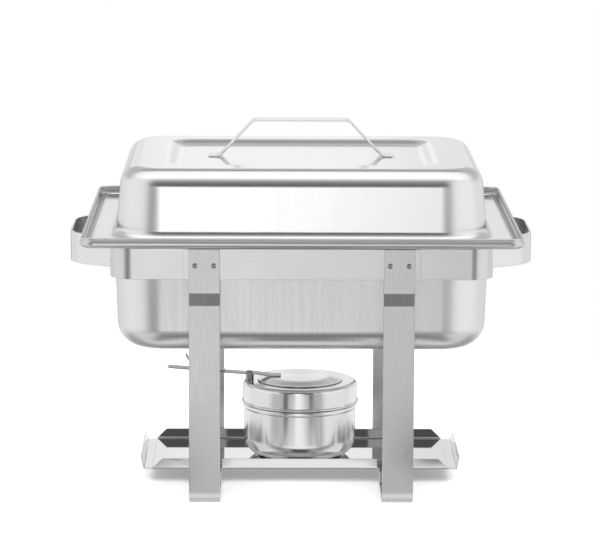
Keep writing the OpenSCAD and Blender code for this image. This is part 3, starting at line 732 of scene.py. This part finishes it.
def cover():
    """The domed disc, the arm that carries it, and the thumb tab welded on the arm."""
    thick, slope, brim_w, crown_bend, brim_bend = 0.8 * MM, 10.8 * MM, 2 * MM, 20 * MM, 8 * MM
    low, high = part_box("cover_disc")
    disc_r = high.x
    crown_z, brim_z = high.z - thick / 2, low.z + thick / 2
    corners = [(0.1 * disc_r, crown_z, 0), (disc_r - slope, crown_z, crown_bend),
               (disc_r - brim_w, brim_z, brim_bend), (disc_r - thick / 2, brim_z, 0)]
    rings = drawn([((0, 0), corners)], thick, steps=ROUND_STEPS)
    piece("cover_disc_steel", mesh_of("disc", [(rings, False)]), "cover", "burner_steel", BURNER_STEEL,
          "cover_disc")

    arm_t, lug, tip, seat_half, running_gap = MM, 9 * MM, 4 * MM, 5.5 * MM, 0.1 * MM
    arm_bend, rise_bend, corner = 12 * MM, 20 * MM, MM
    arm_low, arm_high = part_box("cover_arm")
    bush_low, bush_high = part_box("pivot_bush")
    pivot_x = (bush_low.x + bush_high.x) / 2
    arm_z, rise_z = bush_high.z + running_gap + arm_t / 2, arm_high.z - arm_t / 2
    lug_x, lug_z = slope - disc_r, high.z + arm_t / 2
    path = [(lug_x + lug, lug_z, 0), (lug_x, lug_z, arm_bend), (pivot_x + seat_half, arm_z, arm_bend),
            (pivot_x - seat_half, arm_z, rise_bend), (arm_low.x, rise_z, 0)]
    rings = strip(path, arm_t, arm_high.y - arm_low.y, (corner, tip))
    piece("cover_arm_steel", mesh_of("arm", [(laid(rings, "XZ"), False)]), "cover", "arm_steel",
          ARM_STEEL, "cover_arm")

    foot, foot_bend, lean, top_ease = 14 * MM, 6 * MM, 19 * MM, 0.3 * MM
    curl_run, curl_rise, curl_bend = 3 * MM, 5.5 * MM, 8 * MM
    tab_low, tab_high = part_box("thumb_tab")
    arm_slope = (rise_z - arm_z) / (pivot_x - seat_half - arm_low.x)
    bend_x, top_z = tab_high.x - foot, tab_high.z - top_ease

    def on_arm(x):
        """Height of the tab's middle where it lies on the rising arm."""
        return arm_z + (pivot_x - seat_half - x) * arm_slope + arm_t * math.hypot(1, arm_slope)

    path = [(tab_high.x, on_arm(tab_high.x), 0), (bend_x, on_arm(bend_x), foot_bend),
            (bend_x - lean + curl_run, top_z - curl_rise, curl_bend), (bend_x - lean, top_z, 0)]
    rings = strip(path, arm_t, tab_high.y - tab_low.y, (corner, corner))
    piece("thumb_tab_steel", mesh_of("tab", [(laid(rings, "XZ"), False)]), "cover", "arm_steel",
          ARM_STEEL, "thumb_tab")


# ---- Floor, room, lights and camera ----

# Angles here are in degrees. A bearing or azimuth is 0 at the front and grows to the right.

FLOOR_R = 0.6
PAINTED_FLOOR_STRIPS = (            # bearings of both ends, how soft they are, and the strip's brightness, as painted light and shade
    (-112, -60, 8, 0.86), (-58, -36, 8, 0.44), (-21, -9, 3, 0.74), (-36, -22, 3, 0.08), (9, 16, 3, 0.74),
    (16, 25, 2, 0.06), (25, 44, 3, 0.34), (44, 50, 5, 0.66), (52, 112, 4, 0.86))
FRONT_CEILING = (           # elevations between which it grows brighter, and by how much
    (15, 30, 0.05), (26, 42, 0.12), (38, 56, 0.35), (52, 66, 0.65))
BACK_CEILING = ((38, 44, -0.2), (56, 62, 0.8))


def blend(below, above, mask):
    """below where the mask is 0, and above where it is 1."""
    return (1 - mask) * below + mask * above


def for_steel_only(tree, x, y, away):
    """What the steel sees of the floor: a glow with painted light and shade. A level ray meets the pale and
    dark strips that the studio's panels would leave on it, painted. A steep one meets painted shadow under
    the tray and in front of the water pan. In front of the legs the floor is pale, a painted light."""
    bearing = x.math("ARCTAN2", y * -1)
    from_x, from_y = x.math("ABSOLUTE"), y.math("ABSOLUTE")
    # Painted light: the floor in front of the legs, where no shade falls.
    painted_light_by_legs = from_x.within(0.060, 0.102, 0.006) * from_y.rises(0.12, 0.125)

    # Painted light and shade: the strips that the studio's panels would leave on the floor.
    strips = 0.95
    for start, end, soft, brightness in PAINTED_FLOOR_STRIPS:
        strips = blend(strips, brightness, bearing.within(start * DEG, end * DEG, soft * DEG))
    level = blend(1.0, strips, away.rises(0.14, 0.19))
    level = blend(level, 0.68, painted_light_by_legs * (1 - from_y.rises(0.24, 0.31)))

    # Painted shadow under the tray and in front of the water pan.
    painted_shadow_under_tray = 1 - from_y.rises(0.07, 0.09)
    painted_shadow_before_pan = from_y.rises(0.125, 0.16) * (1 - from_x.rises(0.13, 0.20))
    steep = 0.75 - painted_shadow_under_tray * 0.4 - painted_shadow_before_pan * 0.55
    steep = blend(steep, 1.0, painted_light_by_legs * (1 - from_y.rises(0.18, 0.22)))

    facing = tree.add("ShaderNodeLayerWeight", inputs={"Blend": 0.5}, out="Facing")
    dark = tree.add("ShaderNodeEmission", inputs={"Color": grey(0.0), "Strength": 0.0})
    white = tree.add("ShaderNodeEmission", inputs={"Color": grey(1.0), "Strength": 1.0})
    return tree.add("ShaderNodeMixShader", inputs={
        0: blend(steep, level, facing.rises(0.32, 0.6)), 1: dark, 2: white})


def floor():
    """White to the camera, with the object's shadow. The steel sees it as for_steel_only gives, and sees
    the room past its edge."""
    bm = bmesh.new()
    bmesh.ops.create_circle(bm, cap_ends=True, segments=96, radius=FLOOR_R)
    mesh = bpy.data.meshes.new("floor")
    bm.to_mesh(mesh)
    bm.free()
    material, tree = new_material("pale_floor")
    place = tree.add("ShaderNodeTexCoord", out="Object")
    away = tree.add("ShaderNodeVectorMath", {"operation": "LENGTH"}, {0: place}, out="Value")
    x, y, _ = xyz(tree, place)

    lit = tree.add("ShaderNodeBsdfDiffuse", inputs={"Color": grey(0.86)})
    lift = tree.add("ShaderNodeEmission", inputs={"Color": grey(1.0), "Strength": 0.1})
    shaded = tree.add("ShaderNodeAddShader", inputs={0: lit, 1: lift})
    white = tree.add("ShaderNodeEmission", inputs={"Color": grey(1.0), "Strength": 1.0})
    for_eye = tree.add("ShaderNodeMixShader", inputs={
        0: away.rises(0.6 * FLOOR_R, FLOOR_R), 1: shaded, 2: white})
    clear = tree.add("ShaderNodeBsdfTransparent")
    for_steel = tree.add("ShaderNodeMixShader", inputs={
        0: away.rises(0.42, 0.5), 1: for_steel_only(tree, x, y, away), 2: clear})
    seen = tree.add("ShaderNodeLightPath", out="Is Camera Ray")
    surface = tree.add("ShaderNodeMixShader", inputs={0: seen, 1: for_steel, 2: for_eye})
    tree.add("ShaderNodeOutputMaterial", inputs={"Surface": surface})
    mesh.materials.append(material)
    in_scene("floor", mesh)


def studio_world():
    """A white room with dark gaps between its soft panels, by direction. The camera sees it white."""
    world = bpy.data.worlds.new("studio")
    world.use_nodes = True
    world.node_tree.nodes.clear()
    bpy.context.scene.world = world
    tree = Wire(world.node_tree)
    x, y, z = xyz(tree, tree.add("ShaderNodeTexCoord", out="Generated"))
    azimuth = x.math("ARCTAN2", y * -1)

    def above(low, high, height=z):
        """0 below the low elevation and 1 above the high one."""
        return height.rises(math.sin(low * DEG), math.sin(high * DEG))

    def up_to(elevation, soft=1.0):
        return 1 - above(elevation - soft, elevation + soft)

    def between(low, high, soft):
        return azimuth.within(low * DEG, high * DEG, soft * DEG)

    def ceiling(gains):
        """Its brightness, by the elevation that shows from the side."""
        from_side = z / (z * z + y * y).math("SQRT")
        return sum(above(low, high, from_side) * gain for low, high, gain in gains) * above(12, 30)

    behind = y.rises(-0.1, 0.1)
    front = ceiling(FRONT_CEILING) + 0.22 - above(6, 12) * 0.12
    back = ceiling(BACK_CEILING) + 0.56
    below, far_below = 1 - above(-6, -2), 1 - above(-18, -11)
    left_edge = (azimuth - below * 4 * DEG).rises(-16 * DEG, -10 * DEG)
    right_edge = 1 - (azimuth + below * 3 * DEG).rises(5 * DEG, 11 * DEG)
    backdrop, backdrop_light = behind * up_to(15), x.within(-0.04, 0.04, 0.02) * 0.14 + 0.85
    window = left_edge * right_edge * up_to(7)
    window_light = (azimuth.rises(-8 * DEG, 12 * DEG) * -1.3 + 2.25) * (far_below * 0.25 - below * 0.38 + 1)
    left_panel, right_panel = (between(*ends, 4) * up_to(40, 3) for ends in ((-112, -41), (30, 98)))
    dark_cards = azimuth.math("ABSOLUTE").within(157 * DEG, 171 * DEG, 2 * DEG) * below
    light = blend(front, back, behind)
    for mask, brightness in ((backdrop, backdrop_light), (window, window_light), (left_panel, 0.95),
                             (right_panel, 1.0), (dark_cards, 0.2)):
        light = blend(light, brightness, mask)
    seen = tree.add("ShaderNodeLightPath", out="Is Camera Ray")
    background = tree.add("ShaderNodeBackground", inputs={
        "Color": grey(1.0), "Strength": blend(light, 1.0, seen)})
    tree.add("ShaderNodeOutputWorld", inputs={"Surface": background})


def lights():
    """Two wide panels that light the floor from both sides, so that it keeps only a narrow shadow. The
    steel doesn't mirror them."""
    width, depth, height, out, aim, radiance = 2.4, 1.2, 1.5, 1.7, 0.1, 7.0
    for name, side in (("front_panel", -1), ("rear_panel", 1)):
        lamp = bpy.data.lights.new(name, "AREA")
        lamp.shape, lamp.size, lamp.size_y = "RECTANGLE", width, depth
        lamp.energy = radiance * math.pi * width * depth
        obj = in_scene(name, lamp)
        obj.location = (0, side * out, height)
        back_from = Vector((0, side * (out - aim), height))
        obj.rotation_euler = back_from.to_track_quat("Z", "Y").to_euler()
        obj.visible_camera = obj.visible_glossy = False


def camera():
    """A long lens in front, a little left of the middle, looking slightly down."""
    place = Vector((-0.0265, -2.5998, 0.6177))
    down, turn, roll = 9.783 * DEG, -0.576 * DEG, 0.242 * DEG
    data = bpy.data.cameras.new("camera")
    data.lens, data.sensor_width = 189.28, 36
    data.clip_start, data.clip_end = 0.1, 50
    obj = in_scene("camera", data)
    obj.matrix_world = (Matrix.Translation(place) @ Matrix.Rotation(turn, 4, "Z")
                        @ Matrix.Rotation(math.pi / 2 - down, 4, "X") @ Matrix.Rotation(roll, 4, "Z"))
    bpy.context.scene.camera = obj


camera()
stand_pieces()
rivets()
water_pan()
food_pan()
lid()
lid_handle()
tray()
burner()
pivot()
cover()
floor()
studio_world()
lights()
bpy.context.scene.view_settings.view_transform = "Standard"
